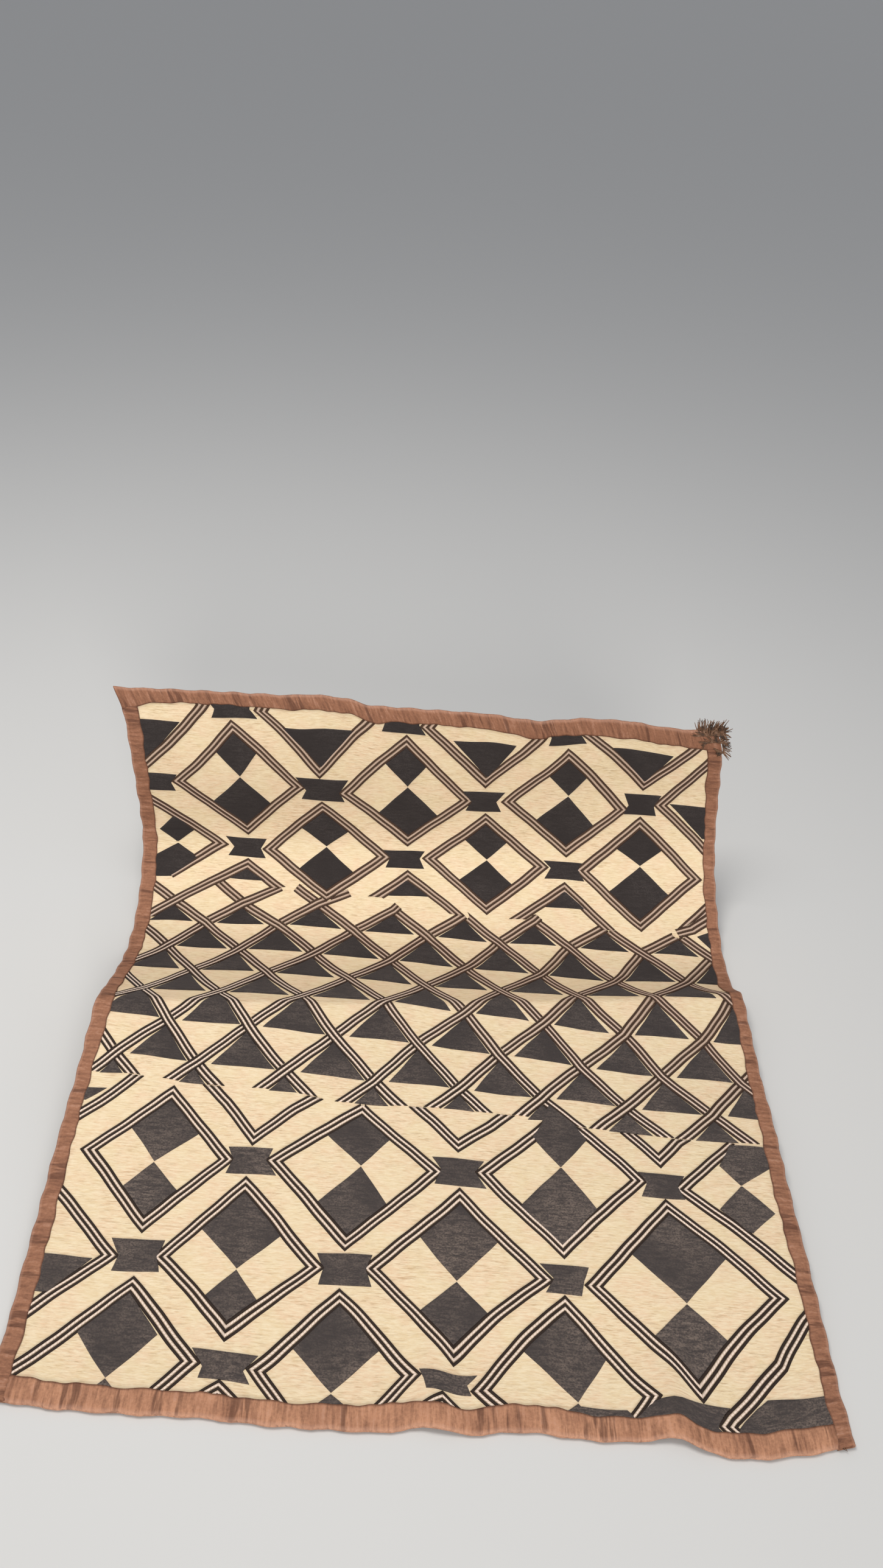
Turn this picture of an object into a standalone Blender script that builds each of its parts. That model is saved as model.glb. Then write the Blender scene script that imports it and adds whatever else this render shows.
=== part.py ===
"""Kuba raffia cloth, lying as it was put down: the near half rises to the ridge where the cloth
was once folded, the far half drops behind the ridge, rests on the floor again and sweeps upright.

An embroidered raffia panel has its four edges held in folded strips of brown raffia, and a tuft
of loose raffia ends is knotted to the far right corner. Each piece is modelled flat, in metres
across the cloth, along it and above its underside, and is then laid on the cloth's folds.
"""

import bmesh
import bpy
import numpy as np
from math import cos, pi, radians, sin
from mathutils import Vector

MM = 0.001

# The cloth laid flat, its folded strips included
CLOTH_WIDTH = 560 * MM
CLOTH_LENGTH = 701 * MM

# Thicknesses: an embroidered panel between the two layers of a folded strip
PANEL_THICKNESS = 1.4 * MM
STRIP_LAYER = 0.6 * MM
GAP = 0.3 * MM
PANEL_UNDERSIDE = STRIP_LAYER + GAP
PANEL_TOP = PANEL_UNDERSIDE + PANEL_THICKNESS
STRIP_TOP = PANEL_TOP + GAP + STRIP_LAYER

# Widths of the strips, and how far each one stands out past the panel's edge
SIDE_STRIP_WIDTH = 11 * MM
SIDE_STRIP_FOLD = 4 * MM
END_STRIP_WIDTH = 17 * MM
END_STRIP_FOLD = 8 * MM
FOLD_ROUNDING = 1.2 * MM

# Where the main lines cross the cloth, along it from the near hem
HEM_FLAT_END = 30 * MM
CREASE_LEFT = 310 * MM
CREASE_MIDDLE = 343 * MM
CREASE_RIGHT = 389 * MM
VALLEY_START = 424 * MM
SWEEP_START = 445 * MM
CREASE_ROUNDING = 3 * MM
FALL_SHAPE = 1.3

# Height of the near half on its way up to the crease
# columns: share of the way, height at the left edge, in the middle, at the right edge, in mm
NEAR_RISE = (
    (0.00, 0.0, 0.0, 0.0),
    (0.25, 5.3, 6.7, 7.0),
    (0.50, 13.5, 14.0, 10.6),
    (0.75, 27.0, 20.5, 9.5),
    (0.90, 37.5, 24.0, 14.0),
    (1.00, 43.0, 27.0, 19.0),
)

# Slope of the far end as it sweeps upright
# columns: distance from the near hem in mm, slope at the left edge, middle, right edge, in degrees
FAR_SWEEP = (
    (445, 0, 0, 0),
    (463, 17, 17, 14),
    (500, 30, 26, 29),
    (532, 53, 41, 38),
    (566, 88, 72, 56),
    (605, 87, 84, 74),
    (650, 77, 83, 89),
    (701, 73, 79, 84),
)

# How far the cloth drifts sideways
# columns: distance from the near hem in mm, drift to the right in mm
SIDE_DRIFT = ((0, -0.5), (180, 0.5), (260, 4), (430, 7), (540, 5), (610, 1), (680, -8), (701, -16))

# The near hem is not square to the sides: its right end lies nearer
HEM_SKEW = 20 * MM

# The waves of the two hems, and where the near hem lifts off the floor
# columns: distance from the left edge in mm, distance outwards or upwards in mm
NEAR_HEM_OUT = (
    (0, 1), (40, 4), (90, 4.8), (130, 4.4), (190, 6.8), (246, 6.8), (283, 2.2), (302, 5), (345, 0.8),
    (392, 3.6), (425, 1.8), (443, 0.5), (462, 7.2), (487, 9.3), (521, 5.2), (560, -3),
)
FAR_HEM_OUT = (
    (0, 0), (90, 1.5), (151, 2.5), (185, 5), (207, 4), (235, -1.5),
    (336, -1), (386, -4.2), (431, 1.7), (465, 3), (515, -0.5), (560, -1),
)
NEAR_HEM_LIFT = ((0, 0), (262, 0), (287, 2.5), (312, 0), (415, 0), (445, 4), (475, 0), (560, 0))
HEM_WAVE_FULL = 20 * MM
HEM_WAVE_END = 80 * MM

# Middle of the cloth's box, from the near hem's left end
BOX_CENTRE_X = 275.54 * MM
BOX_CENTRE_Y = 268.06 * MM

# How finely the cloth's folds are worked out
ALONG_STEP = 1 * MM
ACROSS_STEP = 5 * MM

# Rows of the panel, as shares of the way to the crease and of the way on to the valley
COLUMN_COUNT = 28
NEAR_ROW_SHARES = (0.17, 0.28, 0.39, 0.5, 0.6, 0.7, 0.79, 0.87, 0.93, 0.98, 1.0)
FALL_ROW_SHARES = (0.07, 0.22, 0.42, 0.6, 0.8, 1.0)
FAR_ROW_COUNT = 21

# The tuft of loose ends: its knot sits just off the far right corner, on the corner's diagonal
KNOT_RADIUS = 4 * MM
STRAND_LENGTH = 16 * MM
STRAND_STEPS = 3
STRAND_TAPER = 0.7
FAN_DIRECTION = radians(55)
FAN_SPREAD = radians(76)

# Colours
NATURAL_RAFFIA = (0.71, 0.52, 0.28, 1.0)
BROWN_RAFFIA = (0.33, 0.13, 0.075, 1.0)
DARK_RAFFIA = (0.05, 0.035, 0.03, 1.0)


def curve_through(table, where):
    """Smooth curves through a table's rows, read at where: one for each column after the first.

    They start level and never swing past a row's value.
    """
    knots, *columns = np.array(table, float).T
    where = np.clip(where, knots[0], knots[-1])
    row = np.clip(np.searchsorted(knots, where, side="right") - 1, 0, len(knots) - 2)
    span = knots[row + 1] - knots[row]
    t = (where - knots[row]) / span
    curves = []
    for values in columns:
        secants = np.diff(values) / np.diff(knots)
        product, total = secants[1:] * secants[:-1], secants[1:] + secants[:-1]
        inner = np.where(product > 0, 2 * product / np.where(product > 0, total, 1), 0)
        slopes = np.concatenate([[0], inner, secants[-1:]])
        start = values[row] * (1 + 2 * t) * (1 - t) ** 2 + slopes[row] * span * t * (1 - t) ** 2
        end = values[row + 1] * t**2 * (3 - 2 * t) + slopes[row + 1] * span * t**2 * (t - 1)
        curves.append(start + end)
    return curves


def across(left, middle, right, share):
    """Blends three values across the cloth: share is 0 at the left edge and 1 at the right."""
    left_part = left * (1 - share) * (1 - 2 * share)
    return left_part + middle * 4 * share * (1 - share) + right * share * (2 * share - 1)


def crease_at(u):
    """Distance of the crease from the near hem, at u across the cloth."""
    return across(CREASE_LEFT, CREASE_MIDDLE, CREASE_RIGHT, u / CLOTH_WIDTH)


def fold_profile(u, along):
    """How far back and how high the cloth lies at each distance along one line of it."""
    share = u / CLOTH_WIDTH
    crease = crease_at(u)
    ridge = across(*NEAR_RISE[-1][1:], share) * MM
    rise = across(*curve_through(NEAR_RISE, (along - HEM_FLAT_END) / (crease - HEM_FLAT_END)), share) * MM
    fall_share = np.clip((along - crease) / (VALLEY_START - crease), 0, 1)
    height = np.where(along < crease, rise, ridge * (1 - fall_share) ** FALL_SHAPE)
    reach = round(CREASE_ROUNDING / ALONG_STEP)
    height = np.convolve(np.pad(height, reach, mode="edge"), np.ones(2 * reach + 1), mode="valid")
    height /= 2 * reach + 1
    sweep = np.radians(across(*curve_through(FAR_SWEEP, along / MM), share))
    slope = np.where(along < SWEEP_START, np.arcsin(np.gradient(height, ALONG_STEP)), sweep)
    slope = (slope[1:] + slope[:-1]) / 2
    back = np.concatenate([[0], np.cumsum(np.cos(slope))]) * ALONG_STEP
    climb = np.concatenate([[0], np.cumsum(np.where(along[1:] > SWEEP_START, np.sin(slope), 0))])
    return back, np.where(along < SWEEP_START, height, climb * ALONG_STEP)


ALONG = np.arange(0, CLOTH_LENGTH + ALONG_STEP / 2, ALONG_STEP)
ACROSS = np.arange(0, CLOTH_WIDTH + ACROSS_STEP / 2, ACROSS_STEP)
BACK, HEIGHT = np.array([fold_profile(u, ALONG) for u in ACROSS]).transpose(1, 0, 2)


def read_profiles(grid, u, v):
    """Reads the folds at u across and v along the cloth, also a little way past its edges."""
    column = np.clip((u / ACROSS_STEP).astype(int), 0, len(ACROSS) - 2)
    row = np.clip((v / ALONG_STEP).astype(int), 0, len(ALONG) - 2)
    s = u / ACROSS_STEP - column
    t = v / ALONG_STEP - row
    near = grid[column, row] * (1 - s) + grid[column + 1, row] * s
    far = grid[column, row + 1] * (1 - s) + grid[column + 1, row + 1] * s
    return near * (1 - t) + far * t


def read_waves(table, where):
    """Reads a table of millimetres at places in metres, and gives metres."""
    return curve_through(table, where / MM)[0] * MM


def wave_share(distance):
    """How much of a hem's waves is left at a distance from that hem."""
    t = np.clip((distance - HEM_WAVE_FULL) / (HEM_WAVE_END - HEM_WAVE_FULL), 0, 1)
    return (1 + np.cos(pi * t)) / 2


def surface(u, v):
    """The points of the cloth's underside at u across and v along it."""
    near_wave = wave_share(v)
    shifted = v + read_waves(FAR_HEM_OUT, u) * wave_share(CLOTH_LENGTH - v)
    back = read_profiles(BACK, u, shifted) - HEM_SKEW * u / CLOTH_WIDTH
    return np.stack([
        u + read_waves(SIDE_DRIFT, v) - BOX_CENTRE_X,
        back - read_waves(NEAR_HEM_OUT, u) * near_wave - BOX_CENTRE_Y,
        read_profiles(HEIGHT, u, shifted) + read_waves(NEAR_HEM_LIFT, u) * near_wave,
    ], axis=-1)


def laid(points):
    """Points given across, along and above the flat cloth, moved to where they lie on its folds."""
    u, v, above = points.T
    reach = 2 * MM
    along = surface(u, v + reach) - surface(u, v - reach)
    over = surface(u + reach, v) - surface(u - reach, v)
    upwards = np.cross(over, along)
    upwards /= np.linalg.norm(upwards, axis=1, keepdims=True)
    return surface(u, v) + upwards * above[:, None]


def lay(bm):
    """Lays a flat piece on the cloth's folds."""
    moved = laid(np.array([vert.co for vert in bm.verts]))
    for vert, place in zip(bm.verts, moved):
        vert.co = place


def finish(name, colour, roughness):
    """A plain material."""
    made = bpy.data.materials.new(name)
    made.use_nodes = True
    shader = made.node_tree.nodes["Principled BSDF"]
    shader.inputs["Base Color"].default_value = colour
    shader.inputs["Roughness"].default_value = roughness
    shader.inputs["Metallic"].default_value = 0.0
    made.diffuse_color = colour
    return made


def add_piece(name, bm, material, collection):
    """Turns a finished bmesh into one named object."""
    bmesh.ops.recalc_face_normals(bm, faces=bm.faces)
    mesh = bpy.data.meshes.new(name)
    bm.to_mesh(mesh)
    bm.free()
    mesh.materials.append(material)
    made = bpy.data.objects.new(name, mesh)
    collection.objects.link(made)


def panel_rows():
    """How far along the cloth each row of the panel lies, as functions of the place across it."""
    near = END_STRIP_FOLD + GAP
    strip_end = END_STRIP_WIDTH + GAP
    rows = [lambda u: near, lambda u: strip_end]
    rows += [lambda u, s=s: near + (crease_at(u) - near) * s for s in NEAR_ROW_SHARES]
    rows += [lambda u, s=s: crease_at(u) + (VALLEY_START - crease_at(u)) * s for s in FALL_ROW_SHARES]
    pitch = (CLOTH_LENGTH - strip_end - VALLEY_START) / FAR_ROW_COUNT
    rows += [lambda u, k=k: VALLEY_START + pitch * k for k in range(1, FAR_ROW_COUNT + 1)]
    return rows + [lambda u: CLOTH_LENGTH - near]


def panel_columns():
    """How far across the cloth each column of the panel lies."""
    edge = SIDE_STRIP_FOLD + GAP
    strip_end = SIDE_STRIP_WIDTH + GAP
    inner = np.linspace(strip_end, CLOTH_WIDTH - strip_end, COLUMN_COUNT + 1)
    return [edge, *inner, CLOTH_WIDTH - edge]


def grid_of(columns, rows, place):
    """A grid with a vertex for each pair of column and row; place gives its flat position."""
    bm = bmesh.new()
    last_column, last_row = len(columns) - 1, len(rows) - 1
    bmesh.ops.create_grid(bm, x_segments=last_column, y_segments=last_row, size=0.5)
    for vert in bm.verts:
        column = columns[round((vert.co.x + 0.5) * last_column)]
        row = rows[round((vert.co.y + 0.5) * last_row)]
        vert.co = place(column, row)
    return bm


def make_panel(material, collection):
    """The embroidered panel: one sheet, with its edges held in the four strips."""
    bm = grid_of(panel_columns(), panel_rows(), lambda u, row: (u, row(u), PANEL_UNDERSIDE))
    upper = bmesh.ops.extrude_face_region(bm, geom=bm.faces[:])["geom"]
    for vert in (item for item in upper if isinstance(item, bmesh.types.BMVert)):
        vert.co.z = PANEL_TOP
    lay(bm)
    add_piece("panel", bm, material, collection)


def folded_section(width):
    """The outside of a folded strip: distances in from its edge, and up from the cloth's underside."""
    return (
        (width, 0), (FOLD_ROUNDING, 0), (0, FOLD_ROUNDING),
        (0, STRIP_TOP - FOLD_ROUNDING), (FOLD_ROUNDING, STRIP_TOP), (width, STRIP_TOP),
    )


def make_strip(name, width, stations, place, material, collection):
    """A strip of raffia folded round one edge of the panel."""
    bm = grid_of(folded_section(width), stations, place)
    bm.normal_update()
    lowest = min(bm.faces, key=lambda face: face.calc_center_median().z)
    if lowest.normal.z > 0:
        bmesh.ops.reverse_faces(bm, faces=bm.faces)
        bm.normal_update()
    bmesh.ops.solidify(bm, geom=bm.faces[:], thickness=STRIP_LAYER)
    lay(bm)
    add_piece(name, bm, material, collection)


def make_strips(material, collection):
    """The four folded strips: the sides run past the near one's ends, the far one over theirs."""
    rows = [lambda u: 0.0, *panel_rows()[1:-1]]
    columns = panel_columns()[1:-1]
    side, end = SIDE_STRIP_WIDTH, END_STRIP_WIDTH
    make_strip(
        "binding_left", side, rows,
        lambda point, row: (point[0], row(point[0]), point[1]), material, collection)
    make_strip(
        "binding_right", side, rows,
        lambda point, row: (CLOTH_WIDTH - point[0], row(CLOTH_WIDTH - point[0]), point[1]),
        material, collection)
    make_strip(
        "binding_near", end, columns,
        lambda point, u: (u, point[0], point[1]), material, collection)
    make_strip(
        "binding_far", end, [0.0, *columns, CLOTH_WIDTH],
        lambda point, u: (u, CLOTH_LENGTH - point[0], point[1]), material, collection)


def make_tuft(material, collection):
    """A small knot against the far right corner, with raffia ends fanned out of it."""
    bm = bmesh.new()
    bmesh.ops.create_icosphere(bm, subdivisions=2, radius=KNOT_RADIUS)
    fan = Vector((cos(FAN_DIRECTION), sin(FAN_DIRECTION), 0))
    roots = [face for face in bm.faces if face.calc_center_median().angle(fan) < FAN_SPREAD]
    for number, face in enumerate(roots[::2]):
        direction = face.calc_center_median().normalized()
        reach = STRAND_LENGTH / STRAND_STEPS * (0.8 + 0.2 * cos(2.4 * number))
        for _ in range(STRAND_STEPS):
            grown = bmesh.ops.extrude_face_region(bm, geom=[face, *face.edges])["geom"]
            face = next(item for item in grown if isinstance(item, bmesh.types.BMFace))
            middle = face.calc_center_median()
            for vert in face.verts:
                vert.co = middle + (vert.co - middle) * STRAND_TAPER + direction * reach
    offset = (KNOT_RADIUS + GAP) * cos(pi / 4)
    corner = Vector((CLOTH_WIDTH + offset, CLOTH_LENGTH + offset, STRIP_TOP / 2))
    bmesh.ops.translate(bm, vec=corner, verts=bm.verts)
    lay(bm)
    add_piece("corner_tuft", bm, material, collection)


def main():
    for item in list(bpy.data.objects):
        bpy.data.objects.remove(item)
    collection = bpy.data.collections.new("kuba raffia cloth")
    bpy.context.scene.collection.children.link(collection)
    make_panel(finish("natural raffia", NATURAL_RAFFIA, 0.85), collection)
    make_strips(finish("brown raffia", BROWN_RAFFIA, 0.8), collection)
    make_tuft(finish("dark raffia", DARK_RAFFIA, 0.85), collection)


main()
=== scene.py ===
"""Kuba raffia cloth, dressed: the woven ground, its stitched lines and cut pile, the gathered
brown strips folded round its edges and the loose ends at its corners.

Every piece is worked out flat, in metres across the cloth (u), along it from the near hem (v)
and above its underside, and is then laid on the same folds as the part's solids.
"""

from math import cos, pi, radians, sin, tau

import bmesh
import bpy
import numpy as np
from mathutils import Matrix, Vector


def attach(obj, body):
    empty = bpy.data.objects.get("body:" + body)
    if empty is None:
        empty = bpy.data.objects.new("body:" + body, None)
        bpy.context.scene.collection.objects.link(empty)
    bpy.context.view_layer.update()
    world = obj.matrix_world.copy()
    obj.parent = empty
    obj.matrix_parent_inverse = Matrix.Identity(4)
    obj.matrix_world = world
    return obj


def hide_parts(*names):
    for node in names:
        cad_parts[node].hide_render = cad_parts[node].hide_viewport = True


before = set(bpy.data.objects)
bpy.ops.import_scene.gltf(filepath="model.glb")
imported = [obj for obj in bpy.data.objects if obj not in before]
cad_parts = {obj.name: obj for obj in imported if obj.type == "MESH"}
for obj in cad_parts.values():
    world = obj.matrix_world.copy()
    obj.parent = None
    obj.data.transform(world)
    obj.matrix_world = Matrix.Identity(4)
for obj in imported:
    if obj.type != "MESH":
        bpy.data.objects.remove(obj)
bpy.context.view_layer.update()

MM = 0.001

# The cloth laid flat, its folded strips included
CLOTH_WIDTH = 560 * MM
CLOTH_LENGTH = 701 * MM

# Thicknesses: an embroidered panel between the two layers of a folded strip
PANEL_THICKNESS = 1.4 * MM
STRIP_LAYER = 0.6 * MM
GAP = 0.3 * MM
PANEL_UNDERSIDE = STRIP_LAYER + GAP
PANEL_TOP = PANEL_UNDERSIDE + PANEL_THICKNESS
STRIP_TOP = PANEL_TOP + GAP + STRIP_LAYER

# How far the strips stand out past the panel's edge, and how far from the corners they end
SIDE_STRIP_FOLD = 4 * MM
END_STRIP_FOLD = 8 * MM
FOLD_ROUNDING = 1.2 * MM
SIDE_STRIP_END = 17.3 * MM
NEAR_STRIP_END = 11.3 * MM

# How far in from the cloth's sides and hems the lines and the pile end, under the strips
SIDE_TRIM = 8 * MM
HEM_TRIM = 10 * MM

# Where the main lines cross the cloth, along it from the near hem
HEM_FLAT_END = 30 * MM
CREASE_LEFT = 310 * MM
CREASE_MIDDLE = 343 * MM
CREASE_RIGHT = 389 * MM
VALLEY_START = 424 * MM
SWEEP_START = 445 * MM
CREASE_ROUNDING = 3 * MM
FALL_SHAPE = 1.3

# Height of the near half on its way up to the crease
# columns: share of the way, height at the left edge, in the middle, at the right edge, in mm
NEAR_RISE = (
    (0.00, 0.0, 0.0, 0.0),
    (0.25, 5.3, 6.7, 7.0),
    (0.50, 13.5, 14.0, 10.6),
    (0.75, 27.0, 20.5, 9.5),
    (0.90, 37.5, 24.0, 14.0),
    (1.00, 43.0, 27.0, 19.0),
)

# Slope of the far end as it sweeps upright
# columns: distance from the near hem in mm, slope at the left edge, middle, right edge, in degrees
FAR_SWEEP = (
    (445, 0, 0, 0),
    (463, 17, 17, 14),
    (500, 30, 26, 29),
    (532, 53, 41, 38),
    (566, 88, 72, 56),
    (605, 87, 84, 74),
    (650, 77, 83, 89),
    (701, 73, 79, 84),
)

# How far the cloth drifts sideways
# columns: distance from the near hem in mm, drift to the right in mm
SIDE_DRIFT = ((0, -0.5), (180, 0.5), (260, 4), (430, 7), (540, 5), (610, 1), (680, -8), (701, -16))

# The near hem is not square to the sides: its right end lies nearer
HEM_SKEW = 20 * MM

# The waves of the two hems, and where the near hem lifts off the floor
# columns: distance from the left edge in mm, distance outwards or upwards in mm
NEAR_HEM_OUT = (
    (0, 1), (40, 4), (90, 4.8), (130, 4.4), (190, 6.8), (246, 6.8), (283, 2.2), (302, 5), (345, 0.8),
    (392, 3.6), (425, 1.8), (443, 0.5), (462, 7.2), (487, 9.3), (521, 5.2), (560, -3),
)
FAR_HEM_OUT = (
    (0, 0), (90, 1.5), (151, 2.5), (185, 5), (207, 4), (235, -1.5),
    (336, -1), (386, -4.2), (431, 1.7), (465, 3), (515, -0.5), (560, -1),
)
NEAR_HEM_LIFT = ((0, 0), (262, 0), (287, 2.5), (312, 0), (415, 0), (445, 4), (475, 0), (560, 0))
HEM_WAVE_FULL = 20 * MM
HEM_WAVE_END = 80 * MM

# Middle of the cloth's box, from the near hem's left end
BOX_CENTRE_X = 275.54 * MM
BOX_CENTRE_Y = 268.06 * MM

# The small unevenness of the cloth, in mm: its middle, its long waves and its short ones
PUCKER = (0.22, 0.18, 0.04)

# How finely the cloth's folds are worked out
ALONG_STEP = 1 * MM
ACROSS_STEP = 5 * MM

# The woven ground's mesh, which is finer in the last share before the crease and in the fall
GROUND_PITCH = 3.3 * MM
CREASE_PITCH = 1.6 * MM
CREASE_SHARE = 0.04
FALL_PITCH = 2 * MM

# The stitched bands, in mm: five lines side by side, dark and light in turn
BAND_WIDTH = 9.8
LINE_PITCH = BAND_WIDTH / 5
DARK_LINE_WIDTH = LINE_PITCH + 0.12
LIGHT_LINE_WIDTH = LINE_PITCH - 0.14
LINE_HEIGHT = 0.7
LINE_STEP = 3.4
DARK_LINES = (0, 2, 4)
LIGHT_LINES = (1, 3)

# Where a line passes under something: the steps at which that is tested and the room kept at its
# cut ends, in mm, and the fewest steps of it that still show
LINE_TEST_STEP = 0.4
LINE_END_ROOM = 0.7
SHORTEST_RUN = 10

# The section of one stitched line
# columns: share of its width from its middle, share of its height
LINE_SECTION = ((-0.5, -0.2), (-0.3, 1.0), (0.3, 1.0), (0.5, -0.2), (-0.5, -0.2))

# Lozenges framed by a band, in mm on the flat cloth. The two diamonds of cut pile in a lozenge
# meet at the pinch, and reach a share of the way down, or up, the frame's inner sides.
# columns: left u, right u, v of both, top u, top v, bottom u, bottom v, pinch u, pinch v,
# share of the upper diamond, share of the lower one
LOZENGES = (
    (35.5, 169, 610, 101, 674, 108, 555, 104, 618, 0.37, 0.54),
    (199, 332, 606, 266, 674, 268, 552, 267, 616.5, 0.37, 0.54),
    (357, 479, 606, 418, 672, 421, 552, 420, 618, 0.37, 0.57),
    (121, 253, 541, 183, 596, 187, 490, 187, 546, 0.46, 0.53),
    (282, 404, 541, 343, 594, 343, 488, 344, 545, 0.44, 0.53),
    (428, 549, 540, 490, 600, 488, 482, 490, 550, 0.44, 0.60),
    (20, 140, 183, 83, 243, 79, 121, 78, 177, 0.57, 0.44),
    (162, 299, 184, 237, 243, 228, 116, 235, 186, 0.44, 0.47),
    (88, 215, 103, 150, 170, 149, 48, 151, 98, 0.58, 0.37),
    (240, 376, 104, 310, 173, 302, 42, 308, 100, 0.51, 0.44),
    (396, 541, 103, 465, 177, 466, 30, 467, 93, 0.56, 0.42),
    (164, 282, 34, 225, 88, 222, -26, 223, 22.5, 0.64, 0.45),
    (313, 441, 28, 382, 94, 380, -36, 384, 22, 0.55, 0.45),
)

# Other frames, most of them cut by an edge strip: the band's outer line in mm, with its inside
# on the left of the way it runs
FRAMES = (
    ((10, 617), (86, 688), (10, 760)),
    ((183, 621), (240, 684), (183, 745), (124, 683), (183, 621)),
    ((342, 620), (401, 684), (342, 748), (279, 683), (342, 620)),
    ((490, 628), (545, 685), (490, 745), (431, 684), (490, 628)),
    ((563, 694), (501, 613), (566, 548)),
    ((33, 506), (88, 543), (0, 604)),
    ((147, 503.5), (107, 531), (38, 489), (6, 469)),
    ((325, 483), (268, 529), (215, 491)),
    ((464, 483), (418, 527), (358, 481)),
    ((522, 478), (537, 483.5), (562, 503)),
    ((102, 250), (123.5, 229), (151, 195), (185, 226), (212, 247)),
    ((264, 249), (288, 226.5), (310.5, 202), (340, 226), (364, 249)),
    ((432, 240), (444, 226), (464.5, 203), (484.5, 226), (506, 243)),
    ((4, 199), (37, 228), (62, 253)),
    ((383, 243), (322, 187), (384, 121), (453, 190), (405, 242)),
    ((522, 235), (471, 186), (552, 112)),
    ((100, 0), (135.5, 34), (79, 88.5), (-4, 12)),
    ((6, 46), (66, 103), (6, 161)),
    ((170, 9), (148, 25), (126, 9)),
    ((317, 9), (295, 25), (273, 9)),
    ((557, 104), (544, 90), (527.5, 69), (520, 59), (510, 51), (502, 44.5), (490, 35), (480, 27),
     (472, 18.5), (484, 6.5)),
)

# The net of interlaced bands: rows of crossings, and how far across its columns lie.
# columns: v in mm of one row at each of NET_ROW_PLACES
NET_ROW_PLACES = (35, 180, 320, 450, 546)
NET_ROWS = (
    (483, 487, 486, 484, 480),
    (461, 464, 459, 459, 459),
    (430, 431, 423, 416, 427),
    (393, 396, 384, 381, 389),
    (345, 350, 344, 337, 341),
    (303, 305, 303, 294, 296),
    (267, 264, 262, 259, 258),
)
NET_COLUMNS = (
    2, 37, 71, 106, 141, 179, 215, 252, 285, 321, 353, 388, 419, 455, 485, 521, 549, 584,
)
# How far to the left of its columns each row's crossings lie, in mm
NET_LEFTWARDS = (0, 0, 0, 1.3, 3.2, 6, 8.6)
# How far the bands run on below the last row, in mm, and which columns' bands run on above the
# first one, and how far
NET_TAIL = 30
NET_CAPPED = (7, 11)
NET_CAP = 4.5
# How far short of the line where they meet the net and the frames end, in mm, and a distance from
# the near hem, in mm, that lies between the net's foot and its brow
NET_GAP = 0.3
NET_MIDDLE = 360

# How much of the ground shows beside each row's triangles of pile, at their left and right corners
# columns: left, right, in mm, from the second row of crossings on
NET_PILE_ROOM = ((2, 4), (2, 4), (2, 6), (3, 6), (6, 1.5), (6, 1.5))
NET_PILE_BASE = 0.3

# The small triangles at the net's foot: how far below a crossing they start, as a share of a
# band's width, and their half width as a share of their height
FOOT_PILE_START = 0.62
FOOT_PILE_SPREAD = 0.85

# A band of the net that a frame takes the place of: column of its first crossing, direction
NET_LEFT_OUT = ((1, -1),)

# Where a band of the net goes on above its first row: column, direction, place in mm
NET_HEADS = (
    (1, 1, (13, 500)),
    (3, 1, (75, 507)),
    (3, -1, (142, 503.5)),
    (5, 1, (158, 503)),
    (5, -1, (209, 502)),
    (15, -1, (555, 515)),
)

# Where the net ends at the near lozenges: its bands are cut off above this line, theirs below it
# columns: place across the cloth in mm, distance from the near hem in mm
NET_FOOT = (
    (0, 250), (50, 249), (90, 246.5), (150, 246.5), (195, 243), (213, 240.5), (293, 241.5),
    (363, 242.5), (400, 236), (415, 234), (490, 232.5), (560, 232),
)
# Where the chevrons of the far lozenges end, likewise
NET_BROW = (
    (0, 465), (60, 465), (100, 500), (150, 503), (190, 488), (215, 499), (240, 499), (270, 486),
    (325, 485), (350, 485.5), (400, 485.5), (440, 481), (465, 481), (480, 470), (560, 465),
)

# How far the pattern's rows bow to the left in their middle, and where they really lie
# columns: distance from the near hem in mm, bow in mm, move along the cloth in mm
PATTERN_BOW = (
    (0, 4.5, 0), (60, 5, 0), (122, 6, -2.6), (184, 6, -3.0), (246, 11, -4.4), (308, 12, -5.4),
    (370, 11.5, -7.8), (432, 10, -3.0), (494, 10, -0.8), (556, 12, -0.2), (618, 11.5, 0.6),
    (680, 7.5, 0.6), (701, 7.5, 0.6),
)

# How far a hand strays from the chart, in mm: slowly, and from stitch to stitch
HAND_WANDER = 0.8
HAND_TREMBLE = 0.16

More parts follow.
